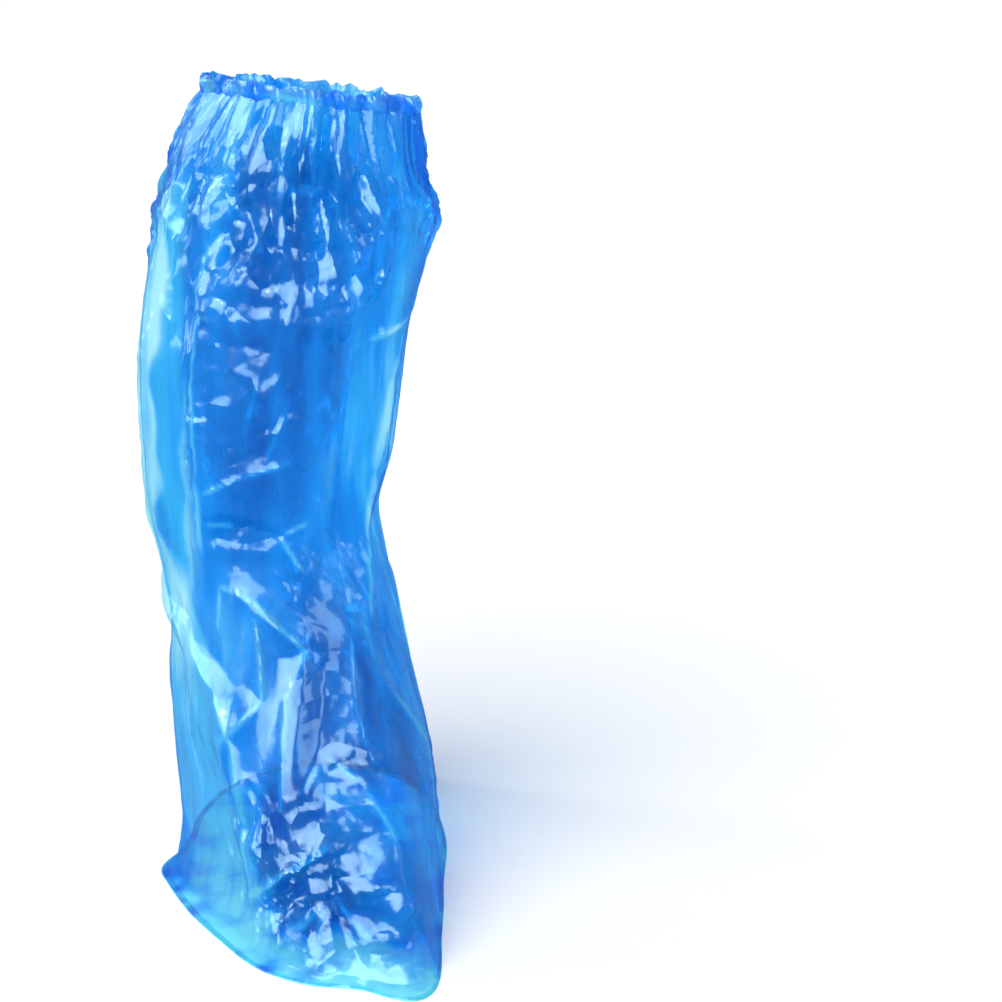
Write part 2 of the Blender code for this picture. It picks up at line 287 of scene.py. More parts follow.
# Where the film is crumpled: middle (direction, share of the height), reach in degrees
# and as a share of the height, and how strong its blocky and its upright facets are.
CRUMPLED = table(
    "angle height wide tall blocky upright",
    (272, 0.89, 42, 0.11, 0.5, 1),
    (240, 0.89, 26, 0.06, 0.6, 0.6),
    (264, 0.795, 36, 0.045, 0.45, 0.35),
    (292, 0.80, 24, 0.05, 0.5, 0.9),
    (300, 0.83, 18, 0.11, 0.4, 1.3),
    (242, 0.64, 12, 0.16, 0.5, 0.3),
    (254, 0.52, 16, 0.05, 0.8, 0.2),
    (286, 0.55, 16, 0.09, 0.4, 0.3),
    (286, 0.45, 12, 0.04, 0.6, 0.3),
    (277, 0.06, 30, 0.07, 1.2, 0.3),
    (252, 0.14, 16, 0.06, 0.8, 0.2),
    (226, 0.13, 14, 0.08, 0.2, 0.5),
    (292, 0.16, 20, 0.05, 0.5, 0.2),
    (266, 0.62, 34, 0.17, 0.24, 0.40),
    (212, 0.56, 16, 0.28, 0.10, 0.30),
    (330, 0.52, 20, 0.22, 0.14, 0.30),
    (292, 0.33, 12, 0.05, 0.30, 0.10),
    (303, 0.235, 13, 0.045, 0.40, 0.15),
    (90, 0.86, 50, 0.10, 0.5, 0.9),
    (20, 0.87, 40, 0.08, 0.4, 0.8),
    (165, 0.87, 40, 0.08, 0.4, 0.8),
    (75, 0.20, 40, 0.10, 0.7, 0.2),
    (130, 0.10, 30, 0.08, 0.15, 0.3),
    (100, 0.52, 40, 0.08, 0.4, 0.3),
    (350, 0.10, 24, 0.08, 0.3, 0.2),
)

# Painted shade and painted light on the film: spots are darker where shade is painted, and lighter,
# with a negative value, where light is painted.
# Middle (direction, share of the height), reach in degrees and as a share of the height, and how
# much darker.
PAINTED_SHADE_AND_LIGHT = table(
    "angle height wide tall denser",
    # painted shade: darker panels of the shaft, in front and behind
    (268, 0.70, 38, 0.30, 0.31),
    (272, 0.87, 36, 0.13, 0.36),
    (96, 0.66, 44, 0.30, 0.20),
    # painted shade over the instep, the toe and the heel
    (298, 0.26, 22, 0.17, 0.42),
    (276, 0.12, 30, 0.12, 0.60),
    (318, 0.14, 22, 0.16, 0.16),
    (74, 0.12, 48, 0.22, 0.42),
    # a painted highlight on the tent's peak, and painted shade on the long fold beside the front
    # panel
    (254, 0.35, 14, 0.06, -0.12),
    (222, 0.62, 8, 0.28, 0.24),
    # painted light: lighter film on the loose sides and in front of the toe
    (200, 0.62, 16, 0.42, -0.85),
    (334, 0.54, 20, 0.22, -0.05),
    (211, 0.19, 28, 0.28, -0.95),
    (288, 0.00, 34, 0.048, -0.95),
    (236, 0.00, 40, 0.050, -0.30),
    (158, 0.55, 24, 0.36, -0.44),
    (30, 0.55, 24, 0.30, -0.16),
)
MEAN_DENSITY = 0.46
# How much lighter the crest of a sharp crease is: stretch whitening, and a painted highlight along
# the crease
CREASE_WHITENING_AND_HIGHLIGHT = 0.62

# Each piece's film: its name, the share of light that its pigment scatters, and the
# strength of its finest crinkles
FILMS = {
    "bag_film": ("blown polyethylene film", 0.28, 0.3),
    "sole_film": ("blown polyethylene sole film", 0.26, 0.25),
    "cuff_hem": ("gathered polyethylene hem", 0.38, 0.5),
    "sole_weld": ("heat-welded polyethylene seam", 0.22, 0.4),
}
# Patterns of the film, in cells to a metre: streaks 24 mm wide, crinkles of 6 and 5 mm,
# and leaning facets of 6 mm
STREAKS = 42.0
CRINKLES = 170.0
CRINKLE_CELLS = 210.0
LEANING_FACETS = 160.0
# The largest share of light that the film mirrors
MIRRORED_CAP = 0.16

# Steps outwards over the fin, how far they go on in the film's pattern, and the sole
# film's columns and rows
FIN_ROWS = 10
FIN_SLOPE = 0.03
SOLE_COLUMNS = 240
SOLE_ROWS = 40
# Columns of the hem, points round its tube, and columns of the weld
HEM_COLUMNS = 960
HEM_AROUND = 24
WELD_COLUMNS = 900
# Section of the weld: distance from the fin's edge and height above the floor.  A crimped
# band, then the cut edge.
WELD_SECTION = np.array(
    [(-0.0042, 0.0005), (-0.0036, 0.0008), (-0.0026, 0.0004), (-0.0014, 0.0004)]
    + [(-0.0006, 0.0008), (0.0001, 0.0005), (0.0005, 0.0001), (-0.0042, 0.0001)]
)

# The studio's soft suns: azimuth in degrees round from +X, height in degrees, width of
# the disc in degrees, strength in watts per square metre, and whether they light only
# the gloss, as white cards beside the lamps do.
SUNS = {
    "soft key": (234, 54, 56, 3.2, False),
    "front card": (238, 47, 82, 13.6, True),
    "left card": (200, 24, 24, 1.0, True),
    "right card": (334, 22, 24, 1.0, True),
    "small glint": (226, 36, 6, 0.5, True),
}

# Its strip lamps: place, width and height in metres, and power in watts.  All face one
# point in the shaft.
LAMPS = {
    "left strip": ((-1.6, 0.5, 0.3), (0.3, 1.4), 10),
    "right strip": ((1.7, -0.1, 0.3), (0.25, 1.4), 2),
    "back box": ((0.3, 1.8, 1.4), (1.2, 0.8), 4),
}
LAMP_TARGET = (0.0, 0.0, -0.2)
# Strength of the room's light on the film, and of the room where the camera sees it
ROOM_GLOW = 0.38
BACKDROP_GLOW = 1.1
FLOOR_REACH = 12.0

# The camera: its place in metres, how far it looks down in degrees, its focal length in
# pixels of the square picture, and the picture's width in the same pixels
CAMERA_PLACE = (0.1057, -2.0, 0.485)
CAMERA_DROP = 20.1
FOCAL_PIXELS = 3600
PICTURE_PIXELS = 1002
SENSOR_WIDTH = 36.0


def curve_through(knots, values, at):
    """Smooth curve through the knots: cubic pieces with the mean slope at each knot."""
    order = np.argsort(knots)
    x = np.asarray(knots, float)[order]
    y = np.asarray(values, float)[order]
    slopes = np.gradient(y, x)
    at = np.clip(at, x[0], x[-1])
    left = np.clip(np.searchsorted(x, at) - 1, 0, len(x) - 2)
    span = x[left + 1] - x[left]
    t = (at - x[left]) / span
    start = (1 + 2 * t) * (1 - t) ** 2 * y[left] + t * (1 - t) ** 2 * span * slopes[left]
    end = t**2 * (3 - 2 * t) * y[left + 1] - t**2 * (1 - t) * span * slopes[left + 1]
    return start + end


def curve_round(angles, values, at):
    """The same smooth curve, closed over a full turn of 360 degrees."""
    knots = np.concatenate([angles - 360, angles, angles + 360])
    return curve_through(knots, np.tile(values, 3), np.mod(at, 360))


def fade(value, start, end):
    """0 at start and before, 1 at end and beyond, with a smooth change between."""
    t = np.clip((value - start) / (end - start), 0, 1)
    return t * t * (3 - 2 * t)


def ripple(points, size, seed, waves=9):
    """Smooth noise from -1 to 1 or so: a sum of sine waves in seeded directions.

    size is about the distance in metres from one crest to the next.
    """
    rng = np.random.default_rng(seed)
    total = np.zeros(points.shape[:-1])
    for _ in range(waves):
        way = rng.normal(size=3)
        way /= np.linalg.norm(way)
        length = size * rng.uniform(0.7, 1.5)
        total += np.sin(2 * np.pi * (points @ way) / length + rng.uniform(0, 2 * np.pi))
    return total / np.sqrt(waves)


def facets(turn, up, cells, tall, seed, pleated=0.0, bend=0.3):
    """Crumpled film from -1 to 1: flat three-cornered facets between sharp creases.

    Heights drawn for the corners of a skewed grid, cells round the bag and tall metres
    up it, are joined by flat triangles.  Slow sine waves bend the grid's lines.
    pleated turns the heights of the columns into crests and valleys by turns.
    """
    rng = np.random.default_rng(seed)
    rise = rng.uniform(-1, 1, (FACET_ROWS, cells))
    by_turns = np.where(np.arange(cells) % 2, 1, -1) * rng.uniform(0.3, 1, (FACET_ROWS, cells))
    rise = (1 - pleated) * rise + pleated * by_turns
    level = up / tall
    wave = 2 * np.pi * turn
    aside = np.sin(cells // 5 * wave + 2.3 * level + seed)
    aside = aside + np.sin(cells // 3 * wave - 3.4 * level)
    along = np.sin(cells // 4 * wave + 1.7 * level - seed)
    along = along + np.sin(cells // 7 * wave - 2.9 * level)
    across = cells * turn + 0.5 * level + bend * aside
    upward = level + bend * along
    column = np.floor(across).astype(int)
    row = np.floor(upward).astype(int)
    p = across - column
    q = upward - row
    near, beside = np.mod(column, cells), np.mod(column + 1, cells)
    here, above = np.mod(row, FACET_ROWS), np.mod(row + 1, FACET_ROWS)
    low = rise[here, near] * (1 - p - q) + rise[here, beside] * p + rise[above, near] * q
    high = rise[above, beside] * (p + q - 1)
    high = high + rise[above, near] * (1 - p) + rise[here, beside] * (1 - q)
    return np.where(p + q < 1, low, high)


def section_reaches(height):
    """Reach to the left, right, front and back at a share of the height, and the sole's share.

    Each reach is its share of the width or depth that cuff, shaft and sole are mixed to.
    """
    column = {
        name: curve_through(SECTIONS["height"], SECTIONS[name], height)
        for name in SECTIONS.dtype.names
    }
    shaft = 1 - column["cuff"] - column["sole"]
    width = column["cuff"] * CUFF_WIDTH + shaft * SHAFT_WIDTH + column["sole"] * SOLE_WIDTH
    depth = column["cuff"] * CUFF_DEPTH + shaft * SHAFT_DEPTH + column["sole"] * SOLE_LENGTH
    return (
        column["left"] * width,
        column["right"] * width,
        column["front"] * depth,
        column["back"] * depth,
        np.clip(column["sole"], 0, 1),
    )


def direction(turn, height):
    """Direction in degrees at a share of a full turn.

    Two sine waves shift it near the cuff, uneven as hand-fed gathers are.
    """
    shift = np.sin(6 * np.pi * turn) + 0.6 * np.sin(14 * np.pi * turn + 1)
    return 360 * turn + GATHER_SHIFT * shift * fade(height, 0.4, 0.9)


def gather_wave(turn):
    """The broad gathers: a triangle wave, deeper and shallower by turns."""
    crest = 1 - 4 * np.abs(np.mod(turn * GATHER_COUNT, 1) - 0.5)
    return crest * (1 + 0.35 * np.sin(10 * np.pi * turn + 2))


def pleat_rise(turn, drop, sizes):
    """The pleats below the gathered cuff, in metres out: pleated facets of two widths.

    The fine ones run out first, and sine waves vary where.  drop is how far a place is
    below the mouth, in metres, negative on the hem.
    """
    foot = 0.085 + 0.020 * np.sin(10 * np.pi * turn + 1) + 0.018 * np.sin(26 * np.pi * turn)
    foot = foot + 0.012 * np.sin(58 * np.pi * turn + 2)
    turn = fan_out(turn, drop)
    level = drop + PATTERN_ABOVE
    fine = facets(turn, level, 2 * sizes.pleats, 0.034, 5, 0.8, 0.25)
    fine = fine * fade(-drop, -foot, -0.4 * foot)
    wide = facets(turn, level, sizes.pleats, 0.050, 6, 0.8, 0.25)
    wide = wide * fade(-drop, -1.6 * foot, -0.6 * foot)
    return sizes.pleat_rise * (fine + 1.3 * wide)


def fold_rise(angle, height, folds):
    """The highest ridge and the deepest valley of the table at each place, in metres.

    Each fold is a swell (1 - q^2)^2 or a crease (1 - q)^1.5 of q, the distance to its
    line on the film over its spread, mixed by its crispness and lower at its ends.
    """
    ridge = np.zeros(angle.shape)
    valley = np.zeros(angle.shape)
    for fold in folds:
        middle = (fold["from_angle"] + fold["to_angle"]) / 2
        first = (fold["from_angle"] - middle) / 360 * GIRTH
        last = (fold["to_angle"] - middle) / 360 * GIRTH
        start = np.array([first, fold["from_height"] * COVER_HEIGHT])
        line = np.array([last, fold["to_height"] * COVER_HEIGHT]) - start
        near = (np.mod(angle - middle + 180, 360) - 180) / 360 * GIRTH
        offset = np.stack([near, height * COVER_HEIGHT], -1) - start
        along = np.clip(offset @ line / (line @ line), 0, 1)
        q = np.linalg.norm(offset - along[..., None] * line, axis=-1) / (fold["spread"] / 1000)
        soft = np.clip(1 - q**2, 0, None) ** 2
        sharp = np.clip(1 - q, 0, None) ** 1.5
        bump = fold["rise"] / 1000 * ((1 - fold["crisp"]) * soft + fold["crisp"] * sharp)
        bump = bump * (1 - 0.45 * (2 * along - 1) ** 4)
        ridge = np.maximum(ridge, bump)
        valley = np.minimum(valley, bump)
    return ridge + valley


def nearness(angle, height, spot, reach=1.0):
    """1 round a spot's middle, falling to 0 at its oval edge as 1 - d^4 of the distance d."""
    round_way = (np.mod(angle - spot["angle"] + 180, 360) - 180) / (reach * spot["wide"])
    up_way = (height - spot["height"]) / (reach * spot["tall"])
    return np.clip(1 - (round_way**2 + up_way**2) ** 2, 0, None)


def wander(angle, height, far=1.0):
    """Directions and height shares moved a little by sine waves.

    So no spot's edge is an even oval.  far is how much of the move is made.
    """
    wave = np.radians(angle)
    aside = 4.0 * np.sin(31 * height + 3 * np.sin(5 * wave)) + 2.5 * np.sin(67 * height + 1)
    along = 0.012 * np.sin(11 * wave + 20 * height) + 0.010 * np.sin(24 * wave - 31 * height)
    return angle + far * aside, height + far * along


def crumple_share(angle, height):
    """How blocky and how upright the crumples are: the strongest of the table's spots."""
    angle, height = wander(angle, height)
    blocky = np.zeros(angle.shape)
    upright = np.zeros(angle.shape)
    for spot in CRUMPLED:
        near = nearness(angle, height, spot, 1.15)
        blocky = np.maximum(blocky, spot["blocky"] * near)
        upright = np.maximum(upright, spot["upright"] * near)
    return blocky, upright


def film_tone_and_painted_light(angle, height):
    """How deep the film's blue is, from 0 to 1: a mean plus the strongest spots of painted shade
    and painted light.

    A sharp crease stretches the film, which whitens its crest a little, and the lighter crests also
    stand in as painted highlights along the creases.
    """
    denser = np.zeros(angle.shape)
    painted_paler = np.zeros(angle.shape)
    near, level = wander(angle, height, 0.35)
    for spot in PAINTED_SHADE_AND_LIGHT:
        part = spot["denser"] * nearness(near, level, spot)
        denser = np.maximum(denser, part)
        painted_paler = np.minimum(painted_paler, part)
    # Stretch whitening on crease crests, also painted highlights along the creases
    whitened_and_highlit = np.clip(fold_rise(angle, height, CREASES) * 1000, 0, 1) ** 3
    return np.clip(MEAN_DENSITY + denser + painted_paler - CREASE_WHITENING_AND_HIGHLIGHT * whitened_and_highlit, 0, 1)


def level_points(turn, height):
    """Points of the smooth bag: an oval round each section's middle, the sole's outline below."""
    angle = direction(turn, height)
    left, right, front, back, sole = section_reaches(height)
    reach = 1 + sole * (curve_round(SOLE_OUTLINE["angle"], SOLE_OUTLINE["reach"], angle) - 1)
    across = np.cos(np.radians(angle))
    along = np.sin(np.radians(angle))
    low = SOLE_RIM - COVER_HEIGHT
    tilt = -CUFF_SIDE_TILT * across - CUFF_FRONT_TILT * along
    x = (right - left) / 2 + (right + left) / 2 * reach * across
    y = (back - front) / 2 + (back + front) / 2 * reach * along
    z = low + height * (-HEM_HEIGHT / 2 - low) + tilt * fade(height, TILT_FOOT, 1)
    return np.stack([x, y, z], -1)


def fin_at(turn):
    """The bag's outline on the floor, the ways out from its middle, and the fin's width there."""
    ring = level_points(turn, np.zeros(turn.shape))
    even = np.arange(360) / 360
    away = ring - level_points(even, np.zeros(360)).mean(0)
    away = away / np.linalg.norm(away, axis=-1, keepdims=True)
    width = FLANGE_WIDTH * curve_round(FLANGE_OUTLINE["angle"], FLANGE_OUTLINE["width"], 360 * turn)
    return ring, away, width[..., None]


def film_sheet(turn, height, sizes, creased=True):
    """The film's own points at shares of a full turn and of the bag's height.

    Folds and gathers push the smooth bag straight out or in, and its foot flares over
    the fin.  creased adds pleats, creases and crumples.
    """
    angle = direction(turn, height)
    smooth = level_points(turn, height)
    drop = (1 - height) * COVER_HEIGHT
    ends = fade(height, 0, 0.05) * fade(1 - height, 0, 0.10)
    out = sizes.gather_rise * gather_wave(turn) * fade(height, GATHER_FOOT, 1)
    out = out + fold_rise(angle, height, FOLDS) * ends
    if creased:
        ends = fade(height, 0, 0.02) * fade(1 - height, 0, 0.03)
        fanned = fan_out(turn, drop)
        blocky, upright = crumple_share(angle, height)
        round_cells = 2 * int(GIRTH / sizes.facet / 2)
        coarse = facets(turn, drop, round_cells, sizes.facet, 3)
        fine = facets(turn, drop, 2 * round_cells, sizes.facet / 2, 4)
        steep = facets(fanned, drop, 2 * round_cells, 3.0 * sizes.facet, 7, 0.5, 0.2)
        small = facets(fanned, drop, 2 * round_cells + 10, sizes.facet, 8)
        crumple = blocky * (coarse + 0.35 * fine) + upright * (0.6 * steep + 0.20 * small)
        out = out + sizes.crumple_rise * crumple * ends
        out = out + fold_rise(angle, height, CREASES) * ends
        out = out + pleat_rise(turn, drop, sizes)
        out = out + 0.05 * sizes.crumple_rise * small * ends
    across = np.cos(np.radians(angle))
    along = np.sin(np.radians(angle))
    points = smooth + np.stack([out * across, out * along, np.zeros(out.shape)], -1)
    _, away, width = fin_at(turn)
    flare = sizes.flare * (1 - fade(height, -0.03, 0.07)) / (1 - fade(0.0, -0.03, 0.07))
    return points + away * width * flare[..., None]


def fan_out(turn, drop):
    """Turns from which the upright crumples come down: a sine wave that fans them out."""
    return turn - FAN * np.sin(2 * np.pi * (turn - FAN_MIDDLE)) * drop


def pattern_place(turn, drop, beyond=0.0):
    """Where film lies on its own pattern: a cylinder of its girth, wider by beyond."""
    wave, drop, beyond = np.broadcast_arrays(2 * np.pi * fan_out(turn, drop), drop, beyond)
    reach = GIRTH / (2 * np.pi) + beyond
    return np.stack([reach * np.cos(wave), reach * np.sin(wave), PATTERN_SQUEEZE * drop], -1)


def grid_faces(rows, columns, rows_closed=False):
    """Quads of a grid whose columns run anticlockwise round the bag, and rows down and out."""
    last = rows if rows_closed else rows - 1
    row, column = np.meshgrid(np.arange(last), np.arange(columns), indexing="ij")
    beside = (column + 1) % columns
    above = row * columns
    below = (row + 1) % rows * columns
    corners = [above + column, below + column, below + beside, above + beside]
    return np.stack(corners, -1).reshape(-1, 4)


def stand(name, data):
    """Puts an object of the data into the scene."""
    thing = bpy.data.objects.new(name, data)
    bpy.context.scene.collection.objects.link(thing)
    return thing


def weigh(piece, name, weights):
    """A vertex group with weights rounded to twentieths."""
    group = piece.vertex_groups.new(name=name)
    steps = np.round(weights.ravel() * 20).astype(int)
    for step in np.unique(steps):
        group.add(np.flatnonzero(steps == step).tolist(), step / 20, "REPLACE")


def slack_shift(sizes):
    """Cloth simulation of the film: how a coarse grid's points move when it has slack.

    The bag's film is cut wider than its place, most below the cuff, and larger all ways
    where it is crumpled.  It is held at the mouth and the ground, and buckles until it
    has found room.  The shift is evened out between neighbours and capped.
    """
    rows, columns = sizes.slack_rows, sizes.slack_columns
    turns, heights = np.meshgrid(np.arange(columns) / columns, np.linspace(1, 0, rows))
    start = film_sheet(turns, heights, sizes, creased=False)
    mesh = bpy.data.meshes.new("slack film")
    mesh.from_pydata(start.reshape(-1, 3).tolist(), [], grid_faces(rows, columns).tolist())
    piece = stand("slack film", mesh)
    blocky, upright = crumple_share(direction(turns, heights), heights)
    loose = np.clip(blocky, 0, 1)
    wider = 1 + sizes.slack + sizes.crumple_slack * np.clip(upright, 0, 1)
    piece.shape_key_add(name="placed")
    cut = piece.shape_key_add(name="cut")
    cut.data.foreach_set("co", (start * np.stack([wider, wider, np.ones(wider.shape)], -1)).ravel())
    held = 0.30 - 0.24 * np.clip(np.maximum(blocky, upright), 0, 1)
    held[:2] = held[-2:] = 1.0
    weigh(piece, "held", held)
    weigh(piece, "taut", 1 - loose)
    modifier = piece.modifiers.new("film", "CLOTH")
    film = modifier.settings
    film.quality = 5
    film.mass = 0.01
    film.tension_stiffness = film.compression_stiffness = 15
    film.shear_stiffness = 5
    film.bending_stiffness = 0.2
    film.rest_shape_key = cut
    film.air_damping = 1.0
    film.vertex_group_mass = "held"
    film.pin_stiffness = 1.0
    film.vertex_group_shrink = "taut"
    film.shrink_min = -sizes.crumple_slack
    film.shrink_max = -0.005
    film.effector_weights.gravity = 0.0
    modifier.collision_settings.use_collision = False
    for step in range(1, sizes.slack_steps + 1):
        bpy.context.scene.frame_set(step)
    settled = piece.evaluated_get(bpy.context.evaluated_depsgraph_get()).data
    place = np.empty(rows * columns * 3, np.float32)
    settled.vertices.foreach_get("co", place)
    bpy.context.scene.frame_set(1)
    bpy.data.objects.remove(piece)
    shift = place.reshape(rows, columns, 3) - start
    shift[1:-1] = (shift[:-2] + 2 * shift[1:-1] + shift[2:]) / 4
    shift = (np.roll(shift, 1, 1) + 2 * shift + np.roll(shift, -1, 1)) / 4
    far = np.linalg.norm(shift, axis=-1, keepdims=True)
    return shift * sizes.slack_cap / np.maximum(far, sizes.slack_cap)


def shift_at(shift, turn, height):
    """The coarse grid's shift at finer places, mixed linearly from its four nearest points."""
    rows, columns = shift.shape[:2]
    across = turn * columns
    down = np.clip((1 - height) * (rows - 1), 0, rows - 1.001)
    column = np.floor(across).astype(int)
    row = np.floor(down).astype(int)
    p = (across - column)[..., None]
    q = (down - row)[..., None]
    near, beside = column % columns, (column + 1) % columns
    upper = shift[row, near] * (1 - p) + shift[row, beside] * p
    lower = shift[row + 1, near] * (1 - p) + shift[row + 1, beside] * p
    return upper * (1 - q) + lower * q


def linear(hex_colour):
    """sRGB hex to a linear colour with alpha 1."""
    srgb = [int(hex_colour[i : i + 2], 16) / 255 for i in (0, 2, 4)]
    return tuple(c / 12.92 if c <= 0.04045 else ((c + 0.055) / 1.055) ** 2.4 for c in srgb) + (1.0,)


def add_node(tree, kind, settings=(), values=(), links=()):
    """Adds a node, sets its properties and sockets, and links its inputs.

    links maps inputs to outputs; a node there stands for its first output.
    """
    node = tree.nodes.new(kind)
    for name, value in dict(settings).items():
        setattr(node, name, value)
    for name, value in dict(values).items():
        node.inputs[name].default_value = value
    for name, source in dict(links).items():
        output = source.outputs[0] if isinstance(source, bpy.types.Node) else source
        tree.links.new(output, node.inputs[name])
    return node


def add_ramp(tree, dense, shades):
    """A ramp through the shades of thin, mean and dense film."""
    ramp = add_node(tree, "ShaderNodeValToRGB", links={"Fac": dense})
    stops = ramp.color_ramp.elements
    stops.new(0.45)
    for stop, shade in zip(stops, shades):
        stop.color = shade
    return ramp


def film_material(name, body, wrinkle):
    """Blown polyethylene film with blue pigment: it tints what is behind it and is glossy.

    The film_tone_and_painted_light attribute picks the tints, body is the share of light that the pigment
    scatters, and wrinkle the strength of the finest crinkles.
    """
    shades = bpy.context.scene.cover_colours
    material = bpy.data.materials.new(name)
    material.use_nodes = True
    tree = material.node_tree
    tree.nodes.clear()

    def node(kind, **about):
        """Adds a shader node to the film."""
        return add_node(tree, "ShaderNode" + kind, **about)

    def work_out(kind, operation, links, values=(), **settings):
        """Adds a node that does one sum on its inputs."""
        return node(kind, settings={"operation": operation, **settings}, values=values, links=links)

    place = node("TexCoord").outputs["Object"]
    laid_out = node("Attribute", settings={"attribute_name": "film_place"}).outputs["Vector"]
    tone_and_painted_light = node("Attribute", settings={"attribute_name": "film_tone_and_painted_light"}).outputs["Fac"]
    crumpled = node("Attribute", settings={"attribute_name": "crumpled"}).outputs["Fac"]
    # The bubble that the film is blown from leaves it thicker and thinner in upright streaks
    stretched = node("Mapping", values={"Scale": (1.0, 1.0, 0.14)}, links={"Vector": place})
    streaks = node(
        "TexNoise",
        values={"Scale": STREAKS, "Detail": 3.0, "Roughness": 0.55},
        links={"Vector": stretched},
    )
    thickness = node(
        "MapRange",
        values={"From Min": 0.35, "From Max": 0.65, "To Min": -0.2, "To Max": 0.2},
        links={"Value": streaks.outputs["Fac"]},
    )
    # The tone: the mean, painted shade and painted light from the attribute, plus the streaks of
    # thickness
    dense = work_out("Math", "ADD", {0: tone_and_painted_light, 1: thickness}, use_clamp=True)
    tint = add_ramp(tree, dense, (shades.tint, shades.middle_tint, shades.deep_tint))
    cloud = add_ramp(tree, dense, (shades.cloud, shades.middle_cloud, shades.deep_cloud))
    # Crinkles finer than the mesh: soft everywhere, faceted where the film is crumpled
    fine = node(
        "TexNoise",
        values={"Scale": CRINKLES, "Detail": 4.0, "Roughness": 0.55, "Distortion": 0.5},
        links={"Vector": place},
    )
    cells = node("TexVoronoi", values={"Scale": CRINKLE_CELLS}, links={"Vector": place})
    folded = work_out("Math", "ADD", {0: fine.outputs["Fac"], 1: cells.outputs["Distance"]})
    share = node("MapRange", values={"To Min": 0.15, "To Max": 1.0}, links={"Value": crumpled})
    crinkle = work_out("Math", "MULTIPLY", {0: folded, 1: share})
    bump = node("Bump", values={"Strength": wrinkle, "Distance": 0.001}, links={"Height": crinkle})
    # Flat facets with sharp edges, as crumpled film has: each cell leans its own way
    patches = node("TexVoronoi", values={"Scale": LEANING_FACETS}, links={"Vector": laid_out})
    cell = patches.outputs["Color"]
    lean = work_out("VectorMath", "SUBTRACT", {0: cell}, {1: (0.5, 0.5, 0.5)})
    leaning = work_out("VectorMath", "SCALE", {0: lean, "Scale": share})
    turned = work_out("VectorMath", "ADD", {0: bump, 1: leaning})
    facing = work_out("VectorMath", "NORMALIZE", {0: turned})
    # Clear film lets tinted light through, and its pigment glows when lit from either side
    clear = node("BsdfTransparent", links={"Color": tint})
    glow = node("BsdfTranslucent", links={"Color": cloud, "Normal": facing})
    skin = node(
        "BsdfPrincipled",
        values={"Roughness": 0.3, "IOR": 1.5, "Specular IOR Level": 0.2},
        links={"Base Color": cloud, "Normal": facing},
    )
    cloudy = node("MixShader", values={"Fac": 0.5}, links={1: glow, 2: skin})
    # Dense film scatters more than its body's mean, and thin film less, so spots of painted shade
    # scatter more and spots of painted light less
    ends = {"To Min": body - 0.18, "To Max": body + 0.06}
    milky = node("MapRange", values=ends, links={"Value": dense})
    film = node("MixShader", links={0: milky, 1: clear, 2: cloudy})
    # A sharp and a broad gloss.  The film's rear face reflects too, through the pigment, so
    # both are bluish
    mirror, sheen = (
        node(
            "BsdfGlossy",
            values={"Color": shades.gloss, "Roughness": roughness},
            links={"Normal": facing},
        )
        for roughness in (0.08, 0.28)
    )
    gloss = node("MixShader", values={"Fac": 0.55}, links={1: mirror, 2: sheen})
    edge = node("Fresnel", values={"IOR": 1.45}, links={"Normal": facing})
    # Seen along its face, wrinkled film hardly mirrors more, so its blue stays deep there
    mirrored = work_out("Math", "MINIMUM", {0: edge}, {1: MIRRORED_CAP})
    surface = node("MixShader", links={0: mirrored, 1: film, 2: gloss})
    node("OutputMaterial", links={"Surface": surface})
    return material


def make_piece(name, points, faces, replaced, tone_and_painted_light, crumpled=None, place=None):
    """One smooth mesh object of its own film that rides on the frame and stands for a node.

    place is where each point lies on the film's own pattern; without it that is the point.
    """
    mesh = bpy.data.meshes.new(name)
    mesh.from_pydata(points.reshape(-1, 3).tolist(), [], faces)
    mesh.shade_smooth()
    mesh.set_sharp_from_angle(angle=np.radians(CREASE_ANGLE))
    mesh.materials.append(film_material(*FILMS[name]))
    crumpled = np.zeros(tone_and_painted_light.shape) if crumpled is None else crumpled
    # The film's tone, which on the bag holds painted shade and painted light, and how crumpled it
    # is
    for label, values in (("film_tone_and_painted_light", tone_and_painted_light), ("crumpled", crumpled)):
        mesh.attributes.new(label, "FLOAT", "POINT").data.foreach_set("value", values.ravel())
    pattern = mesh.attributes.new("film_place", "FLOAT_VECTOR", "POINT")
    pattern.data.foreach_set("vector", (points if place is None else place).ravel())
    piece = stand(name, mesh)
    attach(piece, "root")
    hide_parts(replaced)
    return piece


def wall_grid(sizes):
    """Turns and heights of the bag's rows and columns.

    Columns crowd towards the toe and rows towards both ends: each share is pulled by a
    sine wave of itself.
    """
    step = np.arange(sizes.columns) / sizes.columns
    turn = step - sizes.crowding / (2 * np.pi) * np.sin(2 * np.pi * (step - 0.75))
    share = np.linspace(1, 0, sizes.rows)
    height = share - 0.2 / (2 * np.pi) * np.sin(2 * np.pi * share)
    return np.meshgrid(turn, height)


def fin_points(turn, steps, sizes):
    """Rows of film over the fin, from the wall's foot to the weld.

    Straight lines outwards, lifted by a smooth fade and by facets that run outwards.
    """
    ring, away, width = fin_at(turn)
    steps = steps[:, None]
    share = sizes.flare + (1 - sizes.flare) * steps
    points = ring + away * width * share[..., None]
    turns = np.broadcast_to(turn, points.shape[:-1])
    wave = facets(turns, FIN_SLOPE * steps, 46, 0.05, 12, 0.7, 0.2)
    rim = (SOLE_RIM - FIN_LIFT) * (1 - fade(steps, -0.2, 0.7))
    lift = FIN_LIFT + rim / (1 - fade(0.0, -0.2, 0.7))
    lift = lift + 0.0016 * (wave + 0.6) * np.sin(np.pi * np.clip(steps, 0, 1)) ** 0.8
    points[..., 2] = FLOOR + np.clip(lift, FIN_LIFT, None)
    return points


